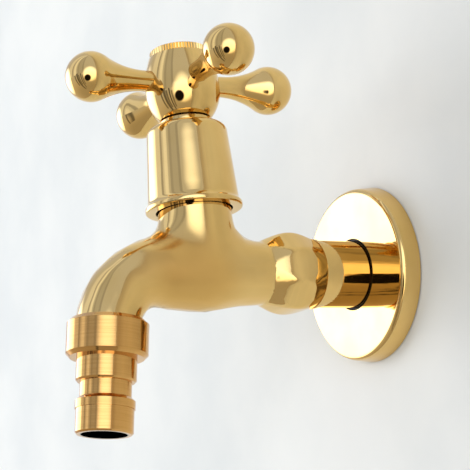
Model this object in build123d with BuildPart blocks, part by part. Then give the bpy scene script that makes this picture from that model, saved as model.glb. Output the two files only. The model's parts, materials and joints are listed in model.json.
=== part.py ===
from build123d import *
import os
from math import cos, pi, radians, sin

# Outdoor wall tap: cast body, bell bonnet, cross handle with ball ends and stepped hose nozzle.
# All sizes are millimetres. The origin is on the inlet axis in the wall plane, +Y goes into the
# wall and +Z is up. Depths called "reach" are measured from the wall plane towards the user.

# Fits and clearances, each per side
running_gap = 0.05
thread_gap = 0.10
ring_gap = 0.04
face_gap = 0.05
press_gap = 0.02
free_gap = 0.30

# Tail and inlet
tail_radius = 10.5
tail_thread_radius = 10.48
tail_behind_wall = 14.0
tail_chamfer = 1.0
relief_radius = 9.3
relief_start_reach = 4.6
relief_width = 2.0
inlet_bore_radius = 7.0

# Eight-sided spanner seat
octagon_sides = 8
octagon_flats = 24.0
octagon_length = 18.6
octagon_back_reach = 22.2
octagon_back_radius = 10.6
octagon_front_sink = 0.3
octagon_end_flat = 0.4
octagon_corner_round = 2.4
octagon_sections = 8
seat_ring_radius = 10.9
seat_ring_width = 1.0

# Barrel and belly of the body
stem_reach = 60.5
barrel_radius = 9.75
barrel_swell_length = 19.5
belly_radius = 11.9

# Neck that takes the headwork
neck_top = 21.0
neck_top_radius = 11.2
neck_base_radius = 11.3
neck_blend = 9.0
neck_bore_radius = 8.4

# Spout
spout_forward = 31.7
spout_bend_radius = 19.0
spout_tilt = 7.3
spout_radius = 9.45
spout_taper_length = 28.0
spout_sections = 16
spout_thread_radius = 10.48
spout_thread_chamfer = 0.8
collar_above_bend_end = 2.15

# Waterways
seat_top = 1.0
seat_thickness = 2.2
seat_hole_radius = 4.5
lower_chamber_radius = 5.0
lower_chamber_bottom = -8.6
link_radius = 3.4
link_drop = 4.9
inlet_wall = 2.9
outlet_bore_radius = 6.6
outlet_wall = 2.0

# Wall flange and its ring
flange_rim_radius = 27.75
flange_face_radius = 26.9
flange_depth = 6.2
flange_wall = 1.3
flange_edge_round = 1.6
flange_hole_radius = 11.35
flange_hole_round = 0.4
flange_lip_depth = 3.4
flange_ring_recess = 0.5

# Bonnet
bonnet_overlap = 2.0
bonnet_mouth_gap = 0.4
bonnet_lip_radius = 14.75
bonnet_lip_height = 1.5
bonnet_foot_radius = 13.8
bonnet_foot_height = 3.2
bonnet_shoulder_radius = 12.2
bonnet_top_round = 2.6
bonnet_lip_round = 0.6
bonnet_wall = 1.4
bonnet_web = 2.3

# Bonnet lock ring
lock_ring_radius = 7.8
lock_ring_height = 2.0
lock_ring_round = 0.4

# Cartridge housing
housing_barrel_radius = 7.2
housing_bore_radius = 6.0
housing_bottom = 1.4
housing_shoulder = 13.1
housing_thread_length = 7.8
housing_flange_radius = 10.4
housing_flange_height = 1.0
housing_hexagon_flats = 18.0
housing_hexagon_sides = 6
housing_hexagon_height = 4.0
housing_upper_radius = 7.0
housing_top_radius = 6.0
housing_chamfer = 0.4
window_bottom = 7.9
window_span = 122.0
gasket_thickness = 1.0

# Seal, discs and slip washer
base_seal_top = 2.6
disc_thickness = 2.4
disc_radius = 5.9
disc_key_width = 2.4
disc_key_radius = 6.9
port_inner_radius = 1.9
port_outer_radius = 4.5
port_span = 76.0
drive_groove_depth = 1.2
slip_washer_thickness = 0.5

# Spindle
spindle_radius = 4.0
spindle_flange_radius = 5.8
spindle_flange_thickness = 2.0
drive_blade_width = 2.2
drive_blade_length = 9.6
stop_lug_radius = 6.9
stop_lug_span = 30.0
handle_turn_span = 90.0
spindle_ring_section = 1.1
spindle_ring_drops = (14.2, 9.2)
clip_thickness = 0.6
clip_radius = 5.3
clip_groove_depth = 0.6
clip_opening = 60.0
spline_teeth = 20
spline_radius = 3.9
spline_depth = 0.45
spline_rise = 10.3

# Cross handle
handle_top = 67.9
hub_gap = 0.4
hub_height = 20.0
hub_bottom_radius = 7.9
hub_radius = 11.5
hub_widest_rise = 9.1
hub_top_radius = 9.5
hub_web_thickness = 1.9
hub_pocket_radius = 4.4
hub_counterbore_radius = 7.0
hub_counterbore_depth = 3.9
hub_clip_recess_radius = 5.8
hub_clip_recess_depth = 1.4
arm_below_hub_top = 8.35
arm_radius = 3.2
arm_shoulder = 9.4
arm_flare_start = 13.0
arm_tenon_radius = 2.2
arm_tenon_length = 4.0
handle_span = 76.2
ball_radius = 7.65

# Index cap and handle screw
cap_radius = 9.05
cap_thickness = 2.2
cap_chamfer = 0.3
cap_dome = 0.35
cap_ribs = 60
cap_rib_depth = 0.35
cap_groove_sides = 4
cap_plug_wall = 1.4
cap_plug_length = 3.4
screw_radius = 2.0
screw_length = 9.0
screw_head_radius = 3.6
screw_head_height = 2.4
screw_slot_width = 1.0
screw_slot_depth = 1.1

# Hose nozzle, measured along its own axis from the top of its collar
collar_radius = 11.85
collar_length = 11.1
collar_chamfer = 1.1
collar_thread_depth = 8.6
washer_thickness = 1.6
step_radius = 8.7
step_end = 18.0
groove_radius = 7.4
groove_end = 22.35
ring_radius = 8.6
ring_chamfer = 1.1
ring_end = 25.7
tip_radius = 8.3
tip_end = 32.9
nozzle_bore_radius = 6.6
nozzle_edge = 0.5

# Bearings about the stem, seen from above, anticlockwise from +X
right_bearing = 0.0
rear_bearing = 90.0
left_bearing = 180.0
front_bearing = 270.0

# Places worked out from the sizes above
stem_y = -stem_reach
stem_axis = Axis((0, stem_y, 0), (0, 0, 1))
stem_plane = Plane.XZ.offset(stem_reach)
tilt = radians(spout_tilt)
outlet_direction = (0, -sin(tilt), -cos(tilt))
spout_reach = stem_reach + spout_forward
bend_start_reach = spout_reach - spout_bend_radius * cos(tilt)
bend_length = spout_bend_radius * (pi / 2 - tilt)
spout_straight = bend_start_reach - stem_reach
bend_end = Vector(0, -spout_reach, -spout_bend_radius * (1 - sin(tilt)))
collar_top = bend_end - Vector(outlet_direction) * collar_above_bend_end
nozzle_plane = Plane(origin=collar_top, x_dir=outlet_direction, z_dir=(1, 0, 0))
nozzle_axis = Axis(collar_top, outlet_direction)
spout_end = collar_thread_depth - washer_thickness

seat_bottom = seat_top - seat_thickness
inlet_end_reach = stem_reach - neck_bore_radius - inlet_wall
outlet_start = stem_y - lower_chamber_radius - outlet_wall
flange_bottom = neck_top + gasket_thickness
thread_bottom = flange_bottom - housing_thread_length
hexagon_bottom = flange_bottom + housing_flange_height
housing_thread_radius = neck_bore_radius - thread_gap
bonnet_bottom = neck_top - bonnet_overlap
hub_bottom = handle_top - hub_height
lock_ring_top = hub_bottom - hub_gap
bonnet_top = lock_ring_top - lock_ring_height
bonnet_mouth_radius = max(neck_top_radius, neck_base_radius) + bonnet_mouth_gap
web_bottom = bonnet_top - bonnet_web
housing_top = lock_ring_top - free_gap
fixed_disc_top = base_seal_top + disc_thickness
moving_disc_bottom = fixed_disc_top + press_gap
moving_disc_top = moving_disc_bottom + disc_thickness
spindle_flange_top = housing_shoulder - slip_washer_thickness - 2 * face_gap
spindle_flange_bottom = spindle_flange_top - spindle_flange_thickness
clip_bottom = housing_top + 2 * face_gap
spindle_ring_heights = [housing_top - drop for drop in spindle_ring_drops]
hub_widest = hub_bottom + hub_widest_rise
arm_height = handle_top - arm_below_hub_top
ball_distance = handle_span / 2 - ball_radius
spline_top = hub_bottom + spline_rise
recess_top = hub_bottom + hub_clip_recess_depth
web_top = spline_top + hub_web_thickness
counterbore_bottom = handle_top - hub_counterbore_depth


def stem_level(height):
    """Level plane at a height on the stem axis."""
    return Plane((0, stem_y, height))


def spout_place(run):
    """Plane across belly and spout at a distance along the centre line from the stem axis."""
    if run <= spout_straight:
        return Plane((0, stem_y - run, 0), x_dir=(1, 0, 0), z_dir=(0, -1, 0))
    turn = (run - spout_straight) / spout_bend_radius
    forward = spout_bend_radius * sin(turn)
    drop = spout_bend_radius * (1 - cos(turn))
    centre = (0, -bend_start_reach - forward, -drop)
    return Plane(centre, x_dir=(1, 0, 0), z_dir=(0, -cos(turn), -sin(turn)))


def spout_section_radius(run):
    """Outer radius along the belly and spout, easing from barrel to belly to plain spout."""
    end_radius = barrel_radius if run < 0 else spout_radius
    ease_length = barrel_swell_length if run < 0 else spout_taper_length
    eased = min(abs(run) / ease_length, 1)
    return end_radius + (belly_radius - end_radius) * (1 + cos(pi * eased)) / 2


def ring_sector(inner, outer, middle, span):
    """Flat sector of a ring, centred on a bearing in degrees."""
    with BuildSketch() as sector:
        with BuildLine():
            arc = CenterArc((0, 0), outer, middle - span / 2, span)
            Line((0, 0), arc @ 0)
            Line(arc @ 1, (0, 0))
        make_face()
        if inner > 0:
            Circle(inner, mode=Mode.SUBTRACT)
    return sector.sketch


def serration(radius, depth):
    """Star outline of the serrated drive between spindle and hub."""
    points = []
    for corner in range(2 * spline_teeth):
        reach = radius - depth * (corner % 2)
        bearing = pi * corner / spline_teeth
        points.append((reach * cos(bearing), reach * sin(bearing)))
    with BuildSketch() as star:
        with BuildLine():
            Polyline(*points, close=True)
        make_face()
    return star.sketch


def save(piece, name):
    """Name a finished piece and write it to its own file."""
    piece.part.label = name
    export_step(piece.part, f"parts/{name}.step")


os.makedirs("parts", exist_ok=True)

# Spanner seat: eight flats, buffed soft, that swell from round at both ends
octagon_back = -octagon_back_reach
octagon_front_radius = barrel_radius - octagon_front_sink
octagon_rise = octagon_flats / 2 - (octagon_back_radius + octagon_front_radius) / 2

with BuildPart() as spanner_seat:
    for section in range(octagon_sections + 1):
        share = section / octagon_sections
        swell = sin(pi * share)
        end_radius = octagon_back_radius + (octagon_front_radius - octagon_back_radius) * share
        flat_radius = end_radius + octagon_rise * swell
        end_round = flat_radius - octagon_end_flat
        with BuildSketch(Plane.XZ.offset(octagon_back_reach + octagon_length * share)):
            RegularPolygon(flat_radius, octagon_sides, major_radius=False, rotation=180 / octagon_sides)
            fillet(vertices(), end_round + (octagon_corner_round - end_round) * swell)
    loft()

# Body: tail and barrel turned about the inlet axis, then spout, neck and waterways
thread_start = relief_width - relief_start_reach
ring_end_y = octagon_back + seat_ring_width
barrel_start = stem_y + barrel_swell_length

with BuildPart() as tap_body:
    with BuildSketch(Plane.YZ):
        with BuildLine():
            Polyline(
                (barrel_start, 0),
                (tail_behind_wall, 0),
                (tail_behind_wall, tail_thread_radius - tail_chamfer),
                (tail_behind_wall - tail_chamfer, tail_thread_radius),
                (thread_start, tail_thread_radius),
                (thread_start, relief_radius),
                (-relief_start_reach, relief_radius),
                (-relief_start_reach, tail_radius),
                (ring_end_y, tail_radius),
                (ring_end_y, seat_ring_radius),
                (octagon_back, seat_ring_radius),
                (octagon_back, barrel_radius),
                (barrel_start, barrel_radius),
                close=True,
            )
        make_face()
    revolve(axis=Axis.Y)
    add(spanner_seat.part)

    # Belly and spout in one run, thinning as it bends down
    spout_length = barrel_swell_length + spout_straight + bend_length
    for section in range(spout_sections + 1):
        run = spout_length * section / spout_sections - barrel_swell_length
        with BuildSketch(spout_place(run)):
            Circle(spout_section_radius(run))
    loft()

    # Neck, blended into barrel and spout
    with BuildSketch(stem_plane):
        with BuildLine():
            Polyline(
                (0, 0),
                (neck_base_radius, 0),
                (neck_top_radius, neck_top),
                (0, neck_top),
                close=True,
            )
        make_face()
    revolve(axis=stem_axis)
    fillet(tap_body.edges(Select.NEW), neck_blend)

    # Waterway from the tail to the chamber below the seat
    with BuildSketch(Plane.XZ.offset(-tail_behind_wall)):
        Circle(inlet_bore_radius)
    extrude(amount=tail_behind_wall + inlet_end_reach, mode=Mode.SUBTRACT)
    with BuildSketch(Plane.XZ.offset(inlet_end_reach - link_radius)):
        with Locations((0, -link_drop)):
            Circle(link_radius)
    extrude(amount=stem_reach - inlet_end_reach + link_radius, mode=Mode.SUBTRACT)
    with BuildSketch(stem_level(lower_chamber_bottom)):
        Circle(lower_chamber_radius)
    extrude(amount=seat_bottom - lower_chamber_bottom, mode=Mode.SUBTRACT)
    with BuildSketch(stem_level(seat_bottom)):
        Circle(seat_hole_radius)
    extrude(amount=seat_thickness, mode=Mode.SUBTRACT)
    with BuildSketch(stem_level(seat_top)):
        Circle(neck_bore_radius)
    extrude(amount=neck_top - seat_top, mode=Mode.SUBTRACT)

    # Threaded spout end under the nozzle's collar
    with BuildSketch(nozzle_plane):
        with BuildLine():
            Polyline(
                (collar_chamfer, 0),
                (collar_chamfer, spout_thread_radius),
                (spout_end - spout_thread_chamfer, spout_thread_radius),
                (spout_end, spout_thread_radius - spout_thread_chamfer),
                (spout_end, 0),
                close=True,
            )
        make_face()
    revolve(axis=nozzle_axis)

    # Outlet passage from the neck's bore to the spout end
    with BuildLine():
        outlet_run = Line((0, outlet_start, 0), (0, -bend_start_reach, 0))
        outlet_bend = TangentArc(outlet_run @ 1, bend_end, tangent=outlet_run % 1)
        Line(outlet_bend @ 1, collar_top + Vector(outlet_direction) * spout_end)
    with BuildSketch(Plane.XZ.offset(-outlet_start)):
        Circle(outlet_bore_radius)
    sweep(mode=Mode.SUBTRACT)

save(tap_body, "tap_body")

# Wall flange: a dished plate whose hole is turned in to hold the ring
with BuildPart() as wall_flange:
    with BuildSketch(Plane.YZ):
        with BuildLine():
            Polyline(
                (0, flange_rim_radius),
                (-flange_depth, flange_face_radius),
                (-flange_depth, flange_hole_radius),
                (flange_lip_depth - flange_depth, flange_hole_radius),
                (flange_lip_depth - flange_depth, flange_hole_radius + flange_wall),
                (flange_wall - flange_depth, flange_hole_radius + flange_wall),
                (flange_wall - flange_depth, flange_face_radius - flange_wall),
                (0, flange_rim_radius - flange_wall),
                close=True,
            )
        make_face()
        face_corners = vertices().group_by(Axis.X)[0].sort_by(Axis.Y)
        fillet(face_corners[-1], flange_edge_round)
        fillet(face_corners[0], flange_hole_round)
    revolve(axis=Axis.Y)
save(wall_flange, "wall_flange")

# Rubber ring in the flange's hole
ring_section = (flange_hole_radius - tail_radius) / 2 - ring_gap
ring_place = (ring_section + flange_ring_recess - flange_depth, (flange_hole_radius + tail_radius) / 2)
with BuildPart() as flange_o_ring:
    with BuildSketch(Plane.YZ):
        with Locations(ring_place):
            Circle(ring_section)
    revolve(axis=Axis.Y)
save(flange_o_ring, "flange_o_ring")

# Bonnet: a bell with a flared lip and a web that sits on the housing's shoulder
foot = (bonnet_foot_radius, bonnet_bottom + bonnet_foot_height)
shoulder = (bonnet_shoulder_radius, bonnet_top)
lip_top = (bonnet_lip_radius, bonnet_bottom + bonnet_lip_height)
bonnet_hole_radius = housing_top_radius + thread_gap
with BuildPart() as bonnet:
    with BuildSketch(stem_plane):
        with BuildLine():
            wall = Line(shoulder, foot)
            flare = TangentArc(wall @ 1, lip_top, tangent=wall % 1)
            Polyline(
                flare @ 1,
                (bonnet_lip_radius, bonnet_bottom),
                (bonnet_mouth_radius, bonnet_bottom),
                (bonnet_mouth_radius, bonnet_bottom + bonnet_lip_height),
                (bonnet_foot_radius - bonnet_wall, bonnet_bottom + bonnet_foot_height),
                (bonnet_shoulder_radius - bonnet_wall, web_bottom),
                (bonnet_hole_radius, web_bottom),
                (bonnet_hole_radius, bonnet_top),
                shoulder,
            )
        make_face()
        fillet(vertices().group_by(Axis.Y)[-1].sort_by(Axis.X)[-1], bonnet_top_round)
        fillet(vertices().group_by(Axis.X)[-1], bonnet_lip_round)
    revolve(axis=stem_axis)
save(bonnet, "bonnet")

# Lock ring that clamps the bonnet to the housing
with BuildPart() as bonnet_lock_ring:
    with BuildSketch(stem_level(bonnet_top)):
        Circle(lock_ring_radius)
        Circle(housing_top_radius + thread_gap, mode=Mode.SUBTRACT)
    extrude(amount=lock_ring_height)
    fillet(edges().filter_by(GeomType.CIRCLE).sort_by(SortBy.RADIUS)[-2:], lock_ring_round)
save(bonnet_lock_ring, "bonnet_lock_ring")

# Cartridge housing: turned, with a hexagon, two side windows and key slots for the fixed disc
window_height = housing_shoulder - free_gap - window_bottom
with BuildPart() as cartridge_housing:
    with BuildSketch(stem_plane):
        with BuildLine():
            Polyline(
                (housing_bore_radius, housing_bottom),
                (housing_barrel_radius, housing_bottom),
                (housing_barrel_radius, thread_bottom),
                (housing_thread_radius, thread_bottom + housing_chamfer),
                (housing_thread_radius, flange_bottom),
                (housing_flange_radius, flange_bottom),
                (housing_flange_radius, hexagon_bottom),
                (housing_upper_radius, hexagon_bottom),
                (housing_upper_radius, web_bottom),
                (housing_top_radius, web_bottom),
                (housing_top_radius, housing_top - housing_chamfer),
                (housing_top_radius - housing_chamfer, housing_top),
                (spindle_radius + running_gap, housing_top),
                (spindle_radius + running_gap, housing_shoulder),
                (housing_bore_radius, housing_shoulder),
                close=True,
            )
        make_face()
    revolve(axis=stem_axis)
    with BuildSketch(stem_level(hexagon_bottom)):
        RegularPolygon(housing_hexagon_flats / 2, housing_hexagon_sides, major_radius=False)
        Circle(housing_upper_radius, mode=Mode.SUBTRACT)
    extrude(amount=housing_hexagon_height)
    with BuildSketch(stem_level(window_bottom)):
        for bearing in (rear_bearing, front_bearing):
            add(ring_sector(0, housing_thread_radius, bearing, window_span))
    extrude(amount=window_height, mode=Mode.SUBTRACT)
    with BuildSketch(stem_level(housing_bottom)):
        Rectangle(2 * housing_thread_radius, disc_key_width + 2 * face_gap)
    extrude(amount=fixed_disc_top + face_gap - housing_bottom, mode=Mode.SUBTRACT)
save(cartridge_housing, "cartridge_housing")

# Gasket between the neck and the housing's flange
with BuildPart() as housing_gasket:
    with BuildSketch(stem_level(neck_top)):
        Circle(housing_flange_radius)
        Circle(neck_bore_radius, mode=Mode.SUBTRACT)
    extrude(amount=gasket_thickness)
save(housing_gasket, "housing_gasket")

# Seal between the seat and the fixed disc
with BuildPart() as base_seal:
    with BuildSketch(stem_level(seat_top)):
        Circle(housing_bore_radius - running_gap)
        Circle(seat_hole_radius, mode=Mode.SUBTRACT)
    extrude(amount=base_seal_top - seat_top)
save(base_seal, "base_seal")

# Fixed disc: ports to front and rear, keys to both sides
with BuildPart() as fixed_disc:
    with BuildSketch(stem_level(base_seal_top)):
        Circle(disc_radius)
        Rectangle(2 * disc_key_radius, disc_key_width)
        for bearing in (rear_bearing, front_bearing):
            add(ring_sector(port_inner_radius, port_outer_radius, bearing, port_span), mode=Mode.SUBTRACT)
    extrude(amount=disc_thickness)
save(fixed_disc, "fixed_disc")

# Moving disc: ports a quarter turn away from the fixed ones, and a groove for the drive blade
groove_floor = moving_disc_top - drive_groove_depth
with BuildPart() as moving_disc:
    with BuildSketch(stem_level(moving_disc_bottom)):
        Circle(disc_radius)
        for bearing in (right_bearing, left_bearing):
            add(ring_sector(port_inner_radius, port_outer_radius, bearing, port_span), mode=Mode.SUBTRACT)
    extrude(amount=disc_thickness)
    with BuildSketch(stem_level(groove_floor)):
        Rectangle(drive_blade_width + 2 * face_gap, 2 * disc_radius)
    extrude(amount=drive_groove_depth, mode=Mode.SUBTRACT)
save(moving_disc, "moving_disc")

# Spindle: flange with stop lug, drive blade, ring grooves, clip groove and serrated top
stop_spare = (window_span - stop_lug_span - handle_turn_span) / 2
stop_middle = front_bearing - window_span / 2 + stop_spare + stop_lug_span / 2
ring_groove_radius = spindle_radius - spindle_ring_section
ring_groove_width = spindle_ring_section + 2 * running_gap
screw_hole_bottom = web_top - screw_length - free_gap
with BuildPart() as spindle:
    with BuildSketch(stem_level(spindle_flange_bottom)):
        Circle(spindle_flange_radius)
        add(ring_sector(0, stop_lug_radius, stop_middle, stop_lug_span))
    extrude(amount=spindle_flange_thickness)
    with BuildSketch(stem_level(spindle_flange_top)):
        Circle(spindle_radius)
    extrude(amount=recess_top - spindle_flange_top)
    with BuildSketch(stem_level(recess_top)):
        add(serration(spline_radius, spline_depth))
    extrude(amount=spline_top - recess_top)
    with BuildSketch(stem_level(groove_floor + face_gap)):
        Rectangle(drive_blade_width, drive_blade_length)
    extrude(amount=spindle_flange_bottom - groove_floor - face_gap)
    for height in spindle_ring_heights:
        with BuildSketch(stem_level(height)):
            Circle(spindle_radius)
            Circle(ring_groove_radius, mode=Mode.SUBTRACT)
        extrude(amount=ring_groove_width / 2, both=True, mode=Mode.SUBTRACT)
    with BuildSketch(stem_level(clip_bottom)):
        Circle(spindle_radius)
        Circle(spindle_radius - clip_groove_depth, mode=Mode.SUBTRACT)
    extrude(amount=clip_thickness, mode=Mode.SUBTRACT)
    with BuildSketch(stem_level(screw_hole_bottom)):
        Circle(screw_radius + thread_gap)
    extrude(amount=spline_top - screw_hole_bottom, mode=Mode.SUBTRACT)
save(spindle, "spindle")

# Two rubber rings on the spindle
with BuildPart() as spindle_o_rings:
    with BuildSketch(stem_plane):
        for height in spindle_ring_heights:
            with Locations((spindle_radius - spindle_ring_section / 2, height)):
                Circle(spindle_ring_section / 2)
    revolve(axis=stem_axis)
save(spindle_o_rings, "spindle_o_rings")

# Slip washer between the spindle's flange and the housing's shoulder
with BuildPart() as slip_washer:
    with BuildSketch(stem_level(spindle_flange_top + face_gap)):
        Circle(housing_bore_radius - running_gap)
        Circle(spindle_radius + running_gap, mode=Mode.SUBTRACT)
    extrude(amount=slip_washer_thickness)
save(slip_washer, "slip_washer")

# Spring clip in the spindle's groove, open on one side
with BuildPart() as spindle_clip:
    with BuildSketch(stem_level(clip_bottom)):
        Circle(clip_radius)
        Circle(spindle_radius - clip_groove_depth + press_gap, mode=Mode.SUBTRACT)
        add(ring_sector(0, 2 * clip_radius, front_bearing, clip_opening), mode=Mode.SUBTRACT)
    extrude(amount=clip_thickness)
save(spindle_clip, "spindle_clip")

# Handle hub: a turned barrel with a serrated socket, a screw web and four arm seats
arm_bearings = {"front": front_bearing, "right": right_bearing, "rear": rear_bearing, "left": left_bearing}
arm_centre = Vector(0, stem_y, arm_height)
tenon_hole_depth = arm_tenon_length + free_gap


def arm_direction(bearing):
    """Level direction of an arm from the stem axis."""
    return Vector(cos(radians(bearing)), sin(radians(bearing)), 0)


with BuildPart() as handle_hub:
    with BuildSketch(stem_plane):
        with BuildLine():
            lower = TangentArc((hub_radius, hub_widest), (hub_bottom_radius, hub_bottom), tangent=(0, -1))
            upper = TangentArc((hub_radius, hub_widest), (hub_top_radius, handle_top), tangent=(0, 1))
            Polyline(upper @ 1, (0, handle_top), (0, hub_bottom), lower @ 1)
        make_face()
    revolve(axis=stem_axis)
    with BuildSketch(stem_level(hub_bottom)):
        Circle(hub_clip_recess_radius)
    extrude(amount=hub_clip_recess_depth, mode=Mode.SUBTRACT)
    with BuildSketch(stem_level(recess_top)):
        add(serration(spline_radius + running_gap, spline_depth))
    extrude(amount=spline_top - recess_top, mode=Mode.SUBTRACT)
    with BuildSketch(stem_level(spline_top)):
        Circle(screw_radius + thread_gap)
    extrude(amount=hub_web_thickness, mode=Mode.SUBTRACT)
    with BuildSketch(stem_level(web_top)):
        Circle(hub_pocket_radius)
    extrude(amount=counterbore_bottom - web_top, mode=Mode.SUBTRACT)
    with BuildSketch(stem_level(counterbore_bottom)):
        Circle(hub_counterbore_radius)
    extrude(amount=hub_counterbore_depth, mode=Mode.SUBTRACT)
    for bearing in arm_bearings.values():
        direction = arm_direction(bearing)
        seat_plane = Plane(arm_centre + direction * arm_shoulder, z_dir=direction)
        with BuildSketch(seat_plane):
            Circle(arm_radius + press_gap)
        extrude(amount=hub_radius - arm_shoulder + free_gap, mode=Mode.SUBTRACT)
        with BuildSketch(seat_plane):
            Circle(arm_tenon_radius + thread_gap)
        extrude(amount=-tenon_hole_depth, mode=Mode.SUBTRACT)
save(handle_hub, "handle_hub")

# Arms: a screwed tenon, a straight shank and a flare that runs smoothly into the ball
flare_run = ball_distance - arm_flare_start
flare_radius = (flare_run**2 + arm_radius**2 - ball_radius**2) / (2 * (ball_radius - arm_radius))
centre_distance = flare_radius + ball_radius
flare_end = (
    ball_distance - ball_radius * flare_run / centre_distance,
    ball_radius * (flare_radius + arm_radius) / centre_distance,
)
tenon_end = arm_shoulder - arm_tenon_length
for side, bearing in arm_bearings.items():
    direction = arm_direction(bearing)
    arm_plane = Plane(arm_centre, x_dir=direction, z_dir=direction.cross(Vector(0, 0, 1)))
    with BuildPart() as handle_arm:
        with BuildSketch(arm_plane):
            with BuildLine():
                Polyline(
                    (ball_distance + ball_radius, 0),
                    (tenon_end, 0),
                    (tenon_end, arm_tenon_radius),
                    (arm_shoulder, arm_tenon_radius),
                    (arm_shoulder, arm_radius),
                    (arm_flare_start, arm_radius),
                )
                arm_flare = TangentArc((arm_flare_start, arm_radius), flare_end, tangent=(1, 0))
                TangentArc(arm_flare @ 1, (ball_distance + ball_radius, 0), tangent=arm_flare % 1)
            make_face()
        revolve(axis=Axis(arm_centre, direction))
    save(handle_arm, f"handle_arm_{side}")

# Index cap: a button with a ribbed edge and a hollow plug
cap_top = handle_top + cap_thickness
plug_radius = hub_counterbore_radius - running_gap
with BuildPart() as index_cap:
    with BuildSketch(stem_plane):
        with BuildLine():
            Polyline(
                (0, cap_top + cap_dome),
                (0, handle_top),
                (plug_radius - cap_plug_wall, handle_top),
                (plug_radius - cap_plug_wall, handle_top - cap_plug_length),
                (plug_radius, handle_top - cap_plug_length),
                (plug_radius, handle_top),
                (cap_radius - cap_chamfer, handle_top),
                (cap_radius, handle_top + cap_chamfer),
                (cap_radius, cap_top - cap_chamfer),
                (cap_radius - cap_chamfer, cap_top),
            )
            TangentArc((0, cap_top + cap_dome), (cap_radius - cap_chamfer, cap_top), tangent=(1, 0))
        make_face()
    revolve(axis=stem_axis)
    with BuildSketch(stem_level(handle_top)):
        with PolarLocations(cap_radius, cap_ribs):
            RegularPolygon(cap_rib_depth, cap_groove_sides)
    extrude(amount=cap_thickness, mode=Mode.SUBTRACT)
save(index_cap, "index_cap")

# Screw that holds the hub on the spindle
with BuildPart() as handle_screw:
    with BuildSketch(stem_level(web_top)):
        Circle(screw_head_radius)
    extrude(amount=screw_head_height)
    with BuildSketch(stem_level(web_top)):
        Circle(screw_radius)
    extrude(amount=-screw_length)
    with BuildSketch(stem_level(web_top + screw_head_height)):
        Rectangle(2 * screw_head_radius, screw_slot_width)
    extrude(amount=-screw_slot_depth, mode=Mode.SUBTRACT)
save(handle_screw, "handle_screw")

# Hose nozzle: one turned piece, threaded inside its collar
collar_mouth = spout_thread_radius + thread_gap
with BuildPart() as hose_nozzle:
    with BuildSketch(nozzle_plane):
        with BuildLine():
            Polyline(
                (0, collar_mouth),
                (collar_radius - collar_mouth, collar_radius),
                (collar_length - collar_chamfer, collar_radius),
                (collar_length, collar_radius - collar_chamfer),
                (collar_length, step_radius),
                (step_end - nozzle_edge, step_radius),
                (step_end, step_radius - nozzle_edge),
                (step_end, groove_radius),
                (groove_end, groove_radius),
                (groove_end + ring_chamfer, ring_radius),
                (ring_end, ring_radius),
                (ring_end, tip_radius),
                (tip_end - nozzle_edge, tip_radius),
                (tip_end, tip_radius - nozzle_edge),
                (tip_end, nozzle_bore_radius),
                (collar_thread_depth, nozzle_bore_radius),
                (collar_thread_depth, collar_mouth),
                close=True,
            )
        make_face()
    revolve(axis=nozzle_axis)
save(hose_nozzle, "hose_nozzle")

# Flat washer between the spout end and the nozzle
with BuildPart() as nozzle_washer:
    with BuildSketch(nozzle_plane):
        with BuildLine():
            Polyline(
                (spout_end, nozzle_bore_radius),
                (spout_end, collar_mouth - thread_gap),
                (collar_thread_depth, collar_mouth - thread_gap),
                (collar_thread_depth, nozzle_bore_radius),
                close=True,
            )
        make_face()
    revolve(axis=nozzle_axis)
save(nozzle_washer, "nozzle_washer")
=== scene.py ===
# %% [markdown]
# Outdoor wall tap in polished brass
#
# The solids of the tap come in as a fixed frame, in metres, with the wall plane at y = 0 and the stem upright.
# This lesson gives every piece its finish, draws the smooth skins of the pieces that can be seen, adds the
# pipe thread and sets up a pale studio with the camera at the picture's own angle.

# %% The frame
import json
import math

import bmesh
import bpy
import numpy as np
from mathutils import Matrix, Vector
from mathutils.kdtree import KDTree

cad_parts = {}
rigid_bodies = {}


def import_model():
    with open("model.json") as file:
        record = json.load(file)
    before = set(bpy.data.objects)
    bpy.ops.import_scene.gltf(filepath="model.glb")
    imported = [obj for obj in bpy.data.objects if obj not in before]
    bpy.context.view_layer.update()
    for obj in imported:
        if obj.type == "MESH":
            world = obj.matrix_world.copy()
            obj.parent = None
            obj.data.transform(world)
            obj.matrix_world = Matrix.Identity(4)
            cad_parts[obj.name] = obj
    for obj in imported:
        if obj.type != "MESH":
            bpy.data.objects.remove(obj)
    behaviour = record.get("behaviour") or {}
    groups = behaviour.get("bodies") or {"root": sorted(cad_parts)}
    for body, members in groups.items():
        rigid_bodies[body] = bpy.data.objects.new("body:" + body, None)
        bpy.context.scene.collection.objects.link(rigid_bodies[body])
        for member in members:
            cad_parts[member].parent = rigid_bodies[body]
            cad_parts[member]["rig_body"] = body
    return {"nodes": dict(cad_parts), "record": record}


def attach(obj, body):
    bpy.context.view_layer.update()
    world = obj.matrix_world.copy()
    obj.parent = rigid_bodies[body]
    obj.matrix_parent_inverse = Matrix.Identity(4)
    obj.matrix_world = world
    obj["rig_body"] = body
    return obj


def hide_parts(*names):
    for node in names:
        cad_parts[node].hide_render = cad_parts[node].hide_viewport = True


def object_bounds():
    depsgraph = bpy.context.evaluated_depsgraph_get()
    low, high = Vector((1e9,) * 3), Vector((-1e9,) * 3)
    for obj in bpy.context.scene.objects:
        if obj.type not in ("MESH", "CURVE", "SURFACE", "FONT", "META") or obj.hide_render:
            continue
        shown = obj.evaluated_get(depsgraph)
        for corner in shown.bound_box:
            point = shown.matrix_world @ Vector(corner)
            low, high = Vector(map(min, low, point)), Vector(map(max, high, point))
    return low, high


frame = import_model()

MM = 0.001
cad_low, cad_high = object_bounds()
nodes = frame["nodes"]
print("nodes", len(nodes), "box", [round(v / MM, 1) for v in (*cad_low, *cad_high)])

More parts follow.
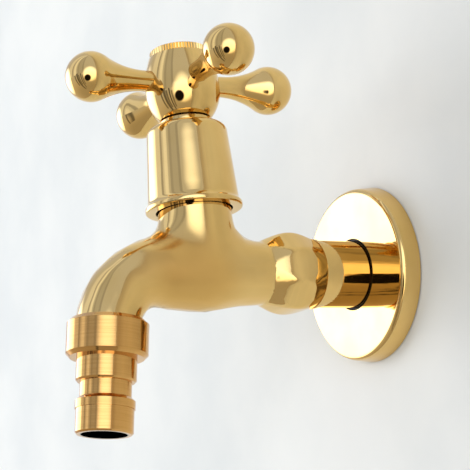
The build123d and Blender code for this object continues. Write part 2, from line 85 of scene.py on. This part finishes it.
# %% [markdown]
# The camera
#
# The photograph looks up at the tap from its front right, and is slightly rolled. A camera can be placed by
# eye, or solved from the outlines of pieces whose size is known. The second way was used here: position,
# heading, pitch and roll below make the round flange, the balls and the spout fall where they do in the picture.

# %% Camera
IMAGE_PIXELS = 470
FOCAL_PIXELS = 1513.15
SENSOR_MM = 36.0
CAMERA_PLACE = Vector((388.47, -271.34, -93.85)) * MM
HEADING = math.radians(60.03)
PITCH = math.radians(13.27)
ROLL = math.radians(-5.99)
CLIP_START = 10 * MM

forward = Vector((
    -math.sin(HEADING) * math.cos(PITCH),
    math.cos(HEADING) * math.cos(PITCH),
    math.sin(PITCH),
))
level_right = Vector((math.cos(HEADING), math.sin(HEADING), 0))
level_up = level_right.cross(forward)
camera_right = math.cos(ROLL) * level_right + math.sin(ROLL) * level_up
camera_up = -math.sin(ROLL) * level_right + math.cos(ROLL) * level_up

camera_data = bpy.data.cameras.new("photo_camera")
camera_data.sensor_width = SENSOR_MM
camera_data.sensor_fit = "HORIZONTAL"
camera_data.lens = FOCAL_PIXELS * SENSOR_MM / IMAGE_PIXELS
camera_data.clip_start = CLIP_START
camera = bpy.data.objects.new("photo_camera", camera_data)
turn = Matrix((camera_right, camera_up, -forward)).transposed()
camera.matrix_world = Matrix.Translation(CAMERA_PLACE) @ turn.to_4x4()
bpy.context.scene.collection.objects.link(camera)
bpy.context.scene.camera = camera
print("lens", round(camera_data.lens, 1), "mm")

# %% [markdown]
# Finishes
#
# Every finish is a Principled shader fed by a few procedural nodes. Nodes could be added one by one, but the
# same few lines would come back in each finish, so a small class adds, fills and links them. The room's light
# uses it too. Patterns read Object coordinates: each object sits at the origin, so these are the tap's own metres.

# %% Node helpers
# Socket numbers of the Mix node: first end, second end and result
MIX_SOCKETS = {"RGBA": (6, 7, 2), "FLOAT": (2, 3, 0)}
GIVES_NUMBER = ("DISTANCE", "LENGTH", "DOT_PRODUCT")


class NodeBench:
    """A node tree being built: adds nodes, and sets or links their inputs."""

    def __init__(self, tree):
        self.tree = tree

    def node(self, kind, inputs=None, **settings):
        made = self.tree.nodes.new(kind)
        for key, value in settings.items():
            setattr(made, key, value)
        for key, value in (inputs or {}).items():
            self.fill(made.inputs[key], value)
        return made

    def fill(self, socket, value):
        if isinstance(value, bpy.types.NodeSocket):
            self.tree.links.new(value, socket)
        else:
            socket.default_value = value

    def number_math(self, operation, *terms):
        return self.node("ShaderNodeMath", dict(enumerate(terms)), operation=operation).outputs[0]

    def vector_math(self, operation, *terms):
        made = self.node("ShaderNodeVectorMath", dict(enumerate(terms)), operation=operation)
        return made.outputs["Value" if operation in GIVES_NUMBER else "Vector"]

    def mixed(self, factor, first, second, kind="RGBA"):
        first_end, second_end, result = MIX_SOCKETS[kind]
        made = self.node("ShaderNodeMix", {0: factor, first_end: first, second_end: second}, data_type=kind)
        return made.outputs[result]


print("node bench ready")

# %% Finish helper
class Finish(NodeBench):
    """A material being built, with the patterns that the finishes share."""

    def __init__(self, name):
        self.material = bpy.data.materials.new(name)
        self.material.use_nodes = True
        super().__init__(self.material.node_tree)
        self.shader = self.tree.nodes["Principled BSDF"]
        self.place = self.node("ShaderNodeTexCoord").outputs["Object"]

    def noise(self, scale, detail=3.0, vector=None):
        pattern = {"Vector": vector or self.place, "Scale": scale, "Detail": detail}
        return self.node("ShaderNodeTexNoise", pattern).outputs["Fac"]

    def ranged(self, value, low, high, from_low=0.3, from_high=0.7):
        ends = {"From Min": from_low, "From Max": from_high, "To Min": low, "To Max": high}
        made = self.node("ShaderNodeMapRange", {"Value": value, **ends}, interpolation_type="SMOOTHSTEP")
        return made.outputs["Result"]

    def bump(self, height, strength, distance):
        relief = {"Height": height, "Strength": strength, "Distance": distance}
        return self.node("ShaderNodeBump", relief).outputs["Normal"]

    def set(self, **values):
        for key, value in values.items():
            self.fill(self.shader.inputs[key.replace("_", " ").title()], value)


print("finish helper ready")

# %% [markdown]
# Polished brass
#
# The casting, bonnet, handle and flange are buffed to a mirror and lacquered. Real buffing leaves a faint swell
# in the surface and a haze of hair-fine scratches. The swell is a very low bump from a wide noise, the haze a
# small change in roughness, and a slow noise warms the colour here and there. The belly of the casting, where
# the hand goes, is buffed less and looks satin. It is also painted a little deeper in colour as painted shade:
# the distance from a point in it says where.

# %% Polished brass
BRASS_LIGHT = (0.80, 0.54, 0.20, 1)
BRASS_WARM = (0.74, 0.485, 0.163, 1)
# A deeper brass, painted on the belly as painted shade
BRASS_PAINTED_SHADE = (0.70, 0.425, 0.128, 1)
TONE_SCALE = 60.0
HAZE_SCALE, HAZE_DETAIL = 900.0, 6.0
HAZE_ROUGHNESS = (0.03, 0.07)
SWELL_SCALE, SWELL_DETAIL = 130.0, 1.0
SWELL_STRENGTH, SWELL_HEIGHT = 0.035, 1.0 * MM
BELLY_MIDDLE = Vector((10, -68, -5)) * MM
PAINTED_SHADE_REACH = (21 * MM, 6 * MM)
SATIN_REACH = (24 * MM, 10 * MM)
SATIN_ROUGHNESS = 0.20

polished = Finish("polished_brass")
polished.set(metallic=1.0)
tone = polished.ranged(polished.noise(TONE_SCALE), 0.0, 1.0)
bright_brass = polished.mixed(tone, BRASS_LIGHT, BRASS_WARM)
from_belly = polished.vector_math("DISTANCE", polished.place, BELLY_MIDDLE)
# Painted shade: the belly is painted a deeper brass, fading out with distance from its middle
belly_painted_shade = polished.ranged(from_belly, 0.0, 1.0, *PAINTED_SHADE_REACH)
polished.set(base_color=polished.mixed(belly_painted_shade, bright_brass, BRASS_PAINTED_SHADE))
haze = polished.ranged(polished.noise(HAZE_SCALE, HAZE_DETAIL), *HAZE_ROUGHNESS)
satin = polished.ranged(from_belly, 0.0, SATIN_ROUGHNESS, *SATIN_REACH)
polished.set(roughness=polished.number_math("ADD", haze, satin))
swell = polished.noise(SWELL_SCALE, SWELL_DETAIL)
polished.set(normal=polished.bump(swell, SWELL_STRENGTH, SWELL_HEIGHT))
print("finish", polished.material.name)

# %% [markdown]
# Turned brass
#
# The nozzle comes straight off the lathe: a slightly redder brass with fine rings left by the tool. The rings
# follow the nozzle's own axis, so the coordinates are turned until that axis is Z, and a noise that changes
# fast along Z and slowly across it makes the tool marks. Inside, the bore is painted almost black as painted
# shade: the distance from the axis says which points lie in it.

# %% The nozzle's axis
mounts = {m["name"]: m for m in frame["record"]["mounts"]}
nozzle_tip = Vector(mounts["hose_tip"]["pos_m"])
nozzle_axis = Vector(mounts["hose_tip"]["axis"])
nozzle_tilt = math.atan2(-nozzle_axis.y, -nozzle_axis.z)
axis_shift = -(Matrix.Rotation(nozzle_tilt, 3, "X") @ nozzle_tip).y
print("nozzle tilt", round(math.degrees(nozzle_tilt), 2))

# %% Turned brass
TURNED_LIGHT = (0.69, 0.38, 0.114, 1)
TURNED_RED = (0.63, 0.335, 0.094, 1)
TURNED_ROUGHNESS = (0.06, 0.12)
MARK_STRETCH = (60.0, 60.0, 2600.0)
MARK_STRENGTH, MARK_HEIGHT = 0.025, 0.2 * MM
ACROSS_AXIS = (1, 1, 0)
# Painted shade: near black painted inside the bore
BORE_PAINTED_SHADE = (0.030, 0.018, 0.010, 1)
BORE_EDGE = (6.75 * MM, 6.95 * MM)

turned = Finish("turned_brass")
turned.set(metallic=1.0)
on_axis = turned.node(
    "ShaderNodeMapping",
    {"Vector": turned.place, "Location": (0, axis_shift, 0), "Rotation": (nozzle_tilt, 0, 0)},
).outputs["Vector"]
tool_marks = turned.noise(1.0, vector=turned.vector_math("MULTIPLY", on_axis, MARK_STRETCH))
fresh_brass = turned.mixed(turned.ranged(tool_marks, 0.0, 1.0), TURNED_LIGHT, TURNED_RED)
radius = turned.vector_math("LENGTH", turned.vector_math("MULTIPLY", on_axis, ACROSS_AXIS))
# Painted shade: the bore inside this radius is painted near black
clear_of_bore_shade = turned.ranged(radius, 0.0, 1.0, *BORE_EDGE)
turned.set(base_color=turned.mixed(clear_of_bore_shade, BORE_PAINTED_SHADE, fresh_brass))
turned.set(roughness=turned.ranged(tool_marks, *TURNED_ROUGHNESS))
turned.set(normal=turned.bump(tool_marks, MARK_STRENGTH, MARK_HEIGHT))
print("finish", turned.material.name)

# %% [markdown]
# The pieces inside
#
# Headwork, seals and screws are hidden while the tap is whole, but they show when someone takes it apart. They
# could share one grey, but each is made of something else, so they get quiet finishes of their own: machined
# brass, black rubber, red fibre, white ceramic, white plastic and bright steel.

# %% Inner finishes
INNER_DETAIL = 4.0
INNER_STRENGTH, INNER_HEIGHT = 0.08, 0.2 * MM
# Light tone, dark tone, scale of the grain, roughness and metallic of each
INNER_FINISHES = {
    "machined_brass": ((0.80, 0.58, 0.26, 1), (0.66, 0.45, 0.18, 1), 700.0, (0.22, 0.38), 1.0),
    "black_rubber": ((0.016, 0.015, 0.015, 1), (0.030, 0.029, 0.028, 1), 900.0, (0.55, 0.75), 0.0),
    "fibre": ((0.36, 0.10, 0.06, 1), (0.24, 0.06, 0.04, 1), 1200.0, (0.7, 0.9), 0.0),
    "white_ceramic": ((0.86, 0.86, 0.83, 1), (0.80, 0.80, 0.77, 1), 500.0, (0.12, 0.25), 0.0),
    "white_plastic": ((0.82, 0.82, 0.79, 1), (0.74, 0.74, 0.71, 1), 600.0, (0.4, 0.55), 0.0),
    "bright_steel": ((0.62, 0.62, 0.63, 1), (0.50, 0.50, 0.51, 1), 1500.0, (0.18, 0.32), 1.0),
}


def inner_finish(name, light, dark, grain, roughness, metal):
    """A finish with a fine two-tone grain and a little change in roughness."""
    made = Finish(name)
    made.set(metallic=metal)
    speckle = made.noise(grain, INNER_DETAIL)
    made.set(base_color=made.mixed(made.ranged(speckle, 0.0, 1.0), light, dark))
    made.set(roughness=made.ranged(speckle, *roughness))
    made.set(normal=made.bump(speckle, INNER_STRENGTH, INNER_HEIGHT))
    print("finish", name)
    return made.material


finishes = {"polished_brass": polished.material, "turned_brass": turned.material}
for name, look in INNER_FINISHES.items():
    finishes[name] = inner_finish(name, *look)

# %% Finishes onto the nodes
slot_of = {s["node"]: s["material_slot"] for s in frame["record"]["subparts"]}
for name, node in nodes.items():
    node.data.materials.clear()
    node.data.materials.append(finishes[slot_of[name]])
print("finishes", len(finishes))

# %% [markdown]
# Smooth skins
#
# The frame's meshes are loose flat triangles, which a mirror finish would show as facets. A copy of each piece
# that can be seen is welded, shaded smooth and given sharp edges only where two faces meet at a real corner.
# The copy stands for its node and rides on the same body. The casting has free curves, where even smooth
# shading shows the long triangles as steps in the mirror. Its long edges are cut first, and then the normal at
# each corner is taken from all the faces nearby that point much the same way, so that reflections flow without
# steps. The spanner seat and the tail, behind the free curves, keep the normals of the faces that meet there.

# %% Pieces and their bodies
def add_piece(name, mesh, node):
    """Link a finished mesh as a piece that rides on a node's body."""
    piece = bpy.data.objects.new(name, mesh)
    bpy.context.scene.collection.objects.link(piece)
    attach(piece, nodes[node]["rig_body"])
    return piece


# %% Flowing normals
SEAT_FRONT = -42 * MM
FLOW_SPREAD = 1.5 * MM
FLOW_REACH = 3 * FLOW_SPREAD
FLOW_ANGLE = math.radians(40)


def flowing_normals(shape):
    """A normal for every corner of a triangle mesh, averaged over the faces near it on the free curves."""
    normals = np.array([face.normal for face in shape.faces])
    areas = np.array([face.calc_area() for face in shape.faces])
    tree = KDTree(len(shape.faces))
    for face in shape.faces:
        tree.insert(face.calc_center_median(), face.index)
    tree.balance()

    def averaged(vertex, facing):
        if vertex.co.y > SEAT_FRONT:
            near = [face.index for face in vertex.link_faces]
            weights = areas[near]
        else:
            found = tree.find_range(vertex.co, FLOW_REACH)
            near = [index for _, index, _ in found]
            distances = np.array([distance for _, _, distance in found])
            weights = areas[near] * np.exp(-0.5 * (distances / FLOW_SPREAD) ** 2)
        agreeing = normals[near] @ np.array(facing) > math.cos(FLOW_ANGLE)
        return Vector((weights * agreeing) @ normals[near]).normalized()

    flowing = {}
    corners = []
    for face in shape.faces:
        for vertex in face.verts:
            if not all(edge.smooth for edge in vertex.link_edges):
                corners.append(averaged(vertex, face.normal))
                continue
            if vertex.index not in flowing:
                flowing[vertex.index] = averaged(vertex, vertex.normal)
            corners.append(flowing[vertex.index])
    return corners


print("normals averaged over", round(FLOW_REACH / MM, 1), "mm")

# %% Smooth skins
WELD_DISTANCE = 0.002 * MM
CORNER_ANGLE = math.radians(24)
FREE_FORMED = ["tap_body"]
LONG_EDGE = 1.0 * MM
LONG_CUTS = 2
SKINNED = [
    "tap_body", "wall_flange", "flange_o_ring", "bonnet", "bonnet_lock_ring", "handle_hub",
    "handle_arm_front", "handle_arm_right", "handle_arm_rear", "handle_arm_left", "index_cap", "hose_nozzle",
]


def smooth_skin(node):
    """A welded, smooth-shaded copy of a node's mesh."""
    mesh = nodes[node].data.copy()
    mesh.name = node + "_skin"
    shape = bmesh.new()
    shape.from_mesh(mesh)
    bmesh.ops.remove_doubles(shape, verts=shape.verts, dist=WELD_DISTANCE)
    if node in FREE_FORMED:
        for _ in range(LONG_CUTS):
            long_edges = [edge for edge in shape.edges if edge.calc_length() > LONG_EDGE]
            bmesh.ops.subdivide_edges(shape, edges=long_edges, cuts=1)
            bmesh.ops.triangulate(shape, faces=shape.faces)
    for face in shape.faces:
        face.smooth = True
    for edge in shape.edges:
        edge.smooth = len(edge.link_faces) == 2 and edge.calc_face_angle() < CORNER_ANGLE
    shape.faces.index_update()
    shape.verts.index_update()
    shape.normal_update()
    shape.to_mesh(mesh)
    if "custom_normal" in mesh.attributes:
        mesh.attributes.remove(mesh.attributes["custom_normal"])
    if node in FREE_FORMED:
        mesh.normals_split_custom_set(flowing_normals(shape))
    shape.free()
    return mesh


for node in SKINNED:
    skin = add_piece(node + "_skin", smooth_skin(node), node)
    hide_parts(node)
    print(skin.name, len(skin.data.polygons))

# %% [markdown]
# Pipe thread
#
# The tail behind the wall carries a half-inch pipe thread. A screw modifier could turn one, but the ridge
# repeats along a helix, so Geometry Nodes draw it: a spiral curve, a small triangle swept along it and a turn
# that lays the spiral's axis along the tail. The pitch is the standard one of fourteen turns to the inch.

# %% Thread tree
SPIRAL_STEPS = 64
RIDGE_CORNERS = 3
SPIRAL_SIZES = {"Start Radius": "Radius", "End Radius": "Radius", "Height": "Length", "Rotations": "Turns"}
ALONG_TAIL = (-math.pi / 2, 0, 0)


def thread_tree(material):
    """A helical ridge about the Y axis, with named sizes."""
    tree = bpy.data.node_groups.new("pipe_thread", "GeometryNodeTree")
    for label in ("Radius", "Length", "Turns", "Ridge", "Start"):
        tree.interface.new_socket(name=label, in_out="INPUT", socket_type="NodeSocketFloat")
    tree.interface.new_socket(name="Geometry", in_out="OUTPUT", socket_type="NodeSocketGeometry")
    bench = NodeBench(tree)
    sizes_in = bench.node("NodeGroupInput").outputs
    turns = {socket: sizes_in[label] for socket, label in SPIRAL_SIZES.items()}
    spiral = bench.node("GeometryNodeCurveSpiral", {"Resolution": SPIRAL_STEPS, **turns})
    upright = bench.node("GeometryNodeSetCurveNormal", {"Curve": spiral.outputs["Curve"]}, mode="Z_UP")
    ridge = bench.node(
        "GeometryNodeCurvePrimitiveCircle", {"Resolution": RIDGE_CORNERS, "Radius": sizes_in["Ridge"]}
    )
    sweep = bench.node("GeometryNodeCurveToMesh", {
        "Curve": upright.outputs["Curve"],
        "Profile Curve": ridge.outputs["Curve"],
        "Fill Caps": True,
    })
    place = bench.node("ShaderNodeCombineXYZ", {"Y": sizes_in["Start"]})
    lay = bench.node("GeometryNodeTransform", {
        "Geometry": sweep.outputs["Mesh"],
        "Translation": place.outputs["Vector"],
        "Rotation": ALONG_TAIL,
    })
    solid = bench.node("GeometryNodeRealizeInstances", {"Geometry": lay.outputs["Geometry"]})
    dress = bench.node(
        "GeometryNodeSetMaterial", {"Geometry": solid.outputs["Geometry"], "Material": material}
    )
    bench.node("NodeGroupOutput", {"Geometry": dress.outputs["Geometry"]})
    return tree


def grown_mesh(name, tree, sizes):
    """Run a tree on an empty mesh with these named sizes and keep the result as a plain mesh."""
    seed = bpy.data.objects.new(name, bpy.data.meshes.new(name + "_seed"))
    bpy.context.scene.collection.objects.link(seed)
    modifier = seed.modifiers.new("grow", "NODES")
    modifier.node_group = tree
    for item in tree.interface.items_tree:
        if item.in_out == "INPUT":
            modifier[item.identifier] = sizes[item.name]
    graph = bpy.context.evaluated_depsgraph_get()
    mesh = bpy.data.meshes.new_from_object(seed.evaluated_get(graph))
    bpy.data.objects.remove(seed)
    mesh.name = name
    return mesh


print("thread tree ready")

# %% Pipe thread
INCH_MM = 25.4
TURNS_TO_THE_INCH = 14
THREAD_PITCH = INCH_MM / TURNS_TO_THE_INCH * MM
THREAD_RIDGE = 0.62 * MM
THREAD_PROUD = 0.22 * MM
TAIL_RADIUS = 10.48 * MM
TAIL_THREAD_START = -1.6 * MM
TAIL_THREAD_END = 12.4 * MM

thread_length = TAIL_THREAD_END - TAIL_THREAD_START
thread_mesh = grown_mesh("tail_thread", thread_tree(finishes["machined_brass"]), {
    "Radius": TAIL_RADIUS + THREAD_PROUD - THREAD_RIDGE,
    "Length": thread_length,
    "Turns": thread_length / THREAD_PITCH,
    "Ridge": THREAD_RIDGE,
    "Start": TAIL_THREAD_START,
})
add_piece("tail_thread", thread_mesh, "tap_body")
print("thread faces", len(thread_mesh.polygons), "turns", round(thread_length / THREAD_PITCH, 1))

# %% [markdown]
# Studio
#
# A mirror finish is made of what it reflects. The tap hangs in a white room with a window far to its left, a
# bright doorway, a dark stand in front of the doorway and a few upright things at the sides. These could be
# modelled, but only their reflections count, so they are painted on the world by direction: a round patch or an
# upright bar is blended into the room's plain tone. The camera itself sees plain pale white.

# %% Room helpers
LEVEL = (1, 1, 0)

world = bpy.data.worlds.new("white_room")
bpy.context.scene.world = world
world.use_nodes = True
sky = NodeBench(world.node_tree)
sky.tree.nodes.clear()
direction = sky.node("ShaderNodeTexCoord").outputs["Generated"]
height = sky.node("ShaderNodeSeparateXYZ", {0: direction}).outputs["Z"]
bearing_ray = sky.vector_math("NORMALIZE", sky.vector_math("MULTIPLY", direction, LEVEL))


def aimed(bearing, elevation):
    """The direction at a bearing from +X and an elevation, in degrees."""
    turn, rise = math.radians(bearing), math.radians(elevation)
    return Vector((math.cos(turn) * math.cos(rise), math.sin(turn) * math.cos(rise), math.sin(rise)))


def near(ray, aim, inner, outer):
    """One within an inner angle of an aim, fading to nothing at an outer angle."""
    facing = sky.vector_math("DOT_PRODUCT", ray, aim)
    ends = {"From Min": math.cos(math.radians(outer)), "From Max": math.cos(math.radians(inner))}
    fade = sky.node("ShaderNodeMapRange", {"Value": facing, **ends}, interpolation_type="SMOOTHSTEP")
    return fade.outputs["Result"]


def patch(base, bearing, elevation, inner, outer, brightness):
    """A soft round patch in the room."""
    mask = near(direction, aimed(bearing, elevation), inner, outer)
    return sky.mixed(mask, base, brightness, "FLOAT")


def bar(base, bearing, inner, outer, low, high, brightness):
    """An upright bar in the room, such as a door frame, between two elevations in degrees."""
    bottom, top = math.sin(math.radians(low)), math.sin(math.radians(high))
    upright = near(bearing_ray, aimed(bearing, 0), inner, outer)
    between = sky.number_math("COMPARE", height, (bottom + top) / 2, (top - bottom) / 2)
    return sky.mixed(sky.number_math("MULTIPLY", upright, between), base, brightness, "FLOAT")


print("room helpers ready")

# %% Room brightness
ROOM_TONE = 0.66
# Bearing, elevation, inner and outer angle in degrees, and brightness
BELOW = (0, -90, 20, 75, 0.46)
DOORWAY = (-26, -6, 20, 38, 2.3)
WINDOW = (-152, 4, 15, 30, 3.6)
DARK_STAND = (-40, -22, 12, 17, 0.01)
# Bearing, inner and outer angle in degrees, and brightness, of bars from eye level to the ceiling
SOFT_BARS = (
    (-70, 6, 16, 0.56), (-120, 8, 22, 0.94), (-96, 2, 8, 1.10), (9, 1, 4, 0.26), (45, 12, 30, 0.44),
    (-57, 1, 5, 0.44), (-80, 1, 5, 0.46), (-110, 1, 5, 0.48),
)
EYE_LEVEL, CEILING = 3, 89
# Bearing, inner and outer angle, lowest and highest elevation in degrees, and brightness
LOW_BARS = (
    (-62, 1, 4, -48, -4, 0.24), (-70, 1, 3, -62, 3, 0.12), (-79, 1, 4, -44, 0, 0.22),
    (-87, 2, 6, -66, 6, 0.16), (-99, 1, 4, -40, 2, 0.20),
)

room = patch(ROOM_TONE, *BELOW)
for bearing, inner, outer, brightness in SOFT_BARS:
    room = bar(room, bearing, inner, outer, EYE_LEVEL, CEILING, brightness)
for low_bar in LOW_BARS:
    room = bar(room, *low_bar)
for round_patch in (DOORWAY, WINDOW, DARK_STAND):
    room = patch(room, *round_patch)
print("bars", len(SOFT_BARS) + len(LOW_BARS))

# %% Room colour
PALE = (0.86, 0.87, 0.885, 1)
COOL_ABOVE = (0.96, 1.06, 1.34, 1)
WARM_BELOW = (1.0, 0.93, 0.84, 1)
WARM_UP_TO, COOL_FROM = -0.5, 0.2

fade = {"Value": height, "From Min": WARM_UP_TO, "From Max": COOL_FROM}
upward = sky.node("ShaderNodeMapRange", fade).outputs["Result"]
cast = sky.mixed(upward, WARM_BELOW, COOL_ABOVE)
tint = sky.node("ShaderNodeVectorMath", {0: cast, "Scale": room}, operation="SCALE").outputs["Vector"]
lit = sky.node("ShaderNodeBackground", {"Color": tint}).outputs[0]
seen = sky.node("ShaderNodeBackground", {"Color": PALE}).outputs[0]
by_camera = sky.node("ShaderNodeLightPath").outputs["Is Camera Ray"]
either = sky.node("ShaderNodeMixShader", {0: by_camera, 1: lit, 2: seen}).outputs[0]
sky.node("ShaderNodeOutputWorld", {"Surface": either})
print("world", world.name)

# %% [markdown]
# Wall and floor
#
# The flange lies on a pale wall, a little mottled, with a painted shade that darkens it away from the window,
# towards +X. A wall would hide the threaded tail from behind, so its back is clear: the shader turns transparent
# on back faces. From the front it is an ordinary matt surface, which keeps the soft shadow of the tap and shows
# in the brass. The floor lies far below, and is kept out of the brass, where it would hide the painted room.

# %% Wall finish
WALL_SCALE, WALL_DETAIL = 14.0, 6.0
WALL_NEAR = ((0.72, 0.715, 0.62, 1), (0.81, 0.79, 0.675, 1))
# Painted shade: the wall darkens to this colour away from the window, towards +X
WALL_PAINTED_SHADE = (0.45, 0.395, 0.305, 1)
WALL_SHADE_FADE = (-0.10, 0.60)
WALL_ROUGHNESS = 0.7

wall_finish = Finish("pale_wall")
mottle = wall_finish.ranged(wall_finish.noise(WALL_SCALE, WALL_DETAIL), 0.0, 1.0)
near_window = wall_finish.mixed(mottle, *WALL_NEAR)
sideways = wall_finish.node("ShaderNodeSeparateXYZ", {"Vector": wall_finish.place}).outputs["X"]
# Painted shade: darker with growing X, away from the window
painted_shade_side = wall_finish.ranged(sideways, 0.0, 1.0, *WALL_SHADE_FADE)
wall_tone = wall_finish.mixed(painted_shade_side, near_window, WALL_PAINTED_SHADE)
wall_finish.set(base_color=wall_tone, roughness=WALL_ROUGHNESS)
behind = wall_finish.node("ShaderNodeNewGeometry").outputs["Backfacing"]
matt = wall_finish.shader.outputs[0]
clear = wall_finish.node("ShaderNodeBsdfTransparent").outputs[0]
either_side = wall_finish.node("ShaderNodeMixShader", {0: behind, 1: matt, 2: clear}).outputs[0]
wall_finish.fill(wall_finish.tree.nodes["Material Output"].inputs["Surface"], either_side)
print("finish", wall_finish.material.name)

# %% Floor finish
FLOOR_SCALE, FLOOR_DETAIL = 14.0, 4.0
FLOOR_TONES = ((0.88, 0.80, 0.635, 1), (0.91, 0.825, 0.655, 1))
FLOOR_ROUGHNESS = 0.8

floor_finish = Finish("pale_floor")
floor_grain = floor_finish.ranged(floor_finish.noise(FLOOR_SCALE, FLOOR_DETAIL), 0.0, 1.0)
floor_finish.set(base_color=floor_finish.mixed(floor_grain, *FLOOR_TONES), roughness=FLOOR_ROUGHNESS)
print("finish", floor_finish.material.name)

# %% Wall and floor
STAGE_HALF = 3.0
WALL_BEHIND = 0.4 * MM
FLOOR_DROP = 1.10


def stage_sheet(name, corners, material):
    """A large four-cornered sheet that is not part of the tap."""
    mesh = bpy.data.meshes.new(name)
    mesh.from_pydata(corners, [], [(0, 1, 2, 3)])
    mesh.materials.append(material)
    sheet = bpy.data.objects.new(name, mesh)
    bpy.context.scene.collection.objects.link(sheet)
    print("stage", name)
    return sheet


floor_level = cad_low.z - FLOOR_DROP
stage_sheet("wall", [
    (-STAGE_HALF, WALL_BEHIND, floor_level),
    (STAGE_HALF, WALL_BEHIND, floor_level),
    (STAGE_HALF, WALL_BEHIND, STAGE_HALF),
    (-STAGE_HALF, WALL_BEHIND, STAGE_HALF),
], wall_finish.material)
floor = stage_sheet("floor", [
    (-STAGE_HALF, -STAGE_HALF, floor_level),
    (STAGE_HALF, -STAGE_HALF, floor_level),
    (STAGE_HALF, STAGE_HALF, floor_level),
    (-STAGE_HALF, STAGE_HALF, floor_level),
], floor_finish.material)
floor.visible_glossy = False

# %% [markdown]
# Lamps
#
# Two soft lamps in front of the tap and above it light the wall. In the mirror of the brass they would stand
# as white squares that the real room does not have, so they are kept out of glossy reflections.

# %% Lamps
KEY_PLACE, KEY_SIZE = Vector((-0.6, -0.8, 0.35)), 0.35
FILL_PLACE, FILL_SIZE = Vector((0.3, -0.8, 0.8)), 0.3
LAMP_POWER = 1.2


def softbox(name, place, size):
    """A square area lamp aimed at the middle of the tap."""
    lamp = bpy.data.lights.new(name, "AREA")
    lamp.size = size
    lamp.energy = LAMP_POWER
    holder = bpy.data.objects.new(name, lamp)
    holder.location = (cad_low + cad_high) / 2 + place
    holder.rotation_euler = (-place).to_track_quat("-Z", "Y").to_euler()
    holder.visible_glossy = False
    bpy.context.scene.collection.objects.link(holder)
    print("lamp", name)


softbox("key", KEY_PLACE, KEY_SIZE)
softbox("fill", FILL_PLACE, FILL_SIZE)

# %% [markdown]
#
# The Standard view shows a colour about as it is written. The skins follow the solids, and the thread's crests
# lie well inside the tap's box.

bpy.context.scene.view_settings.view_transform = "Standard"
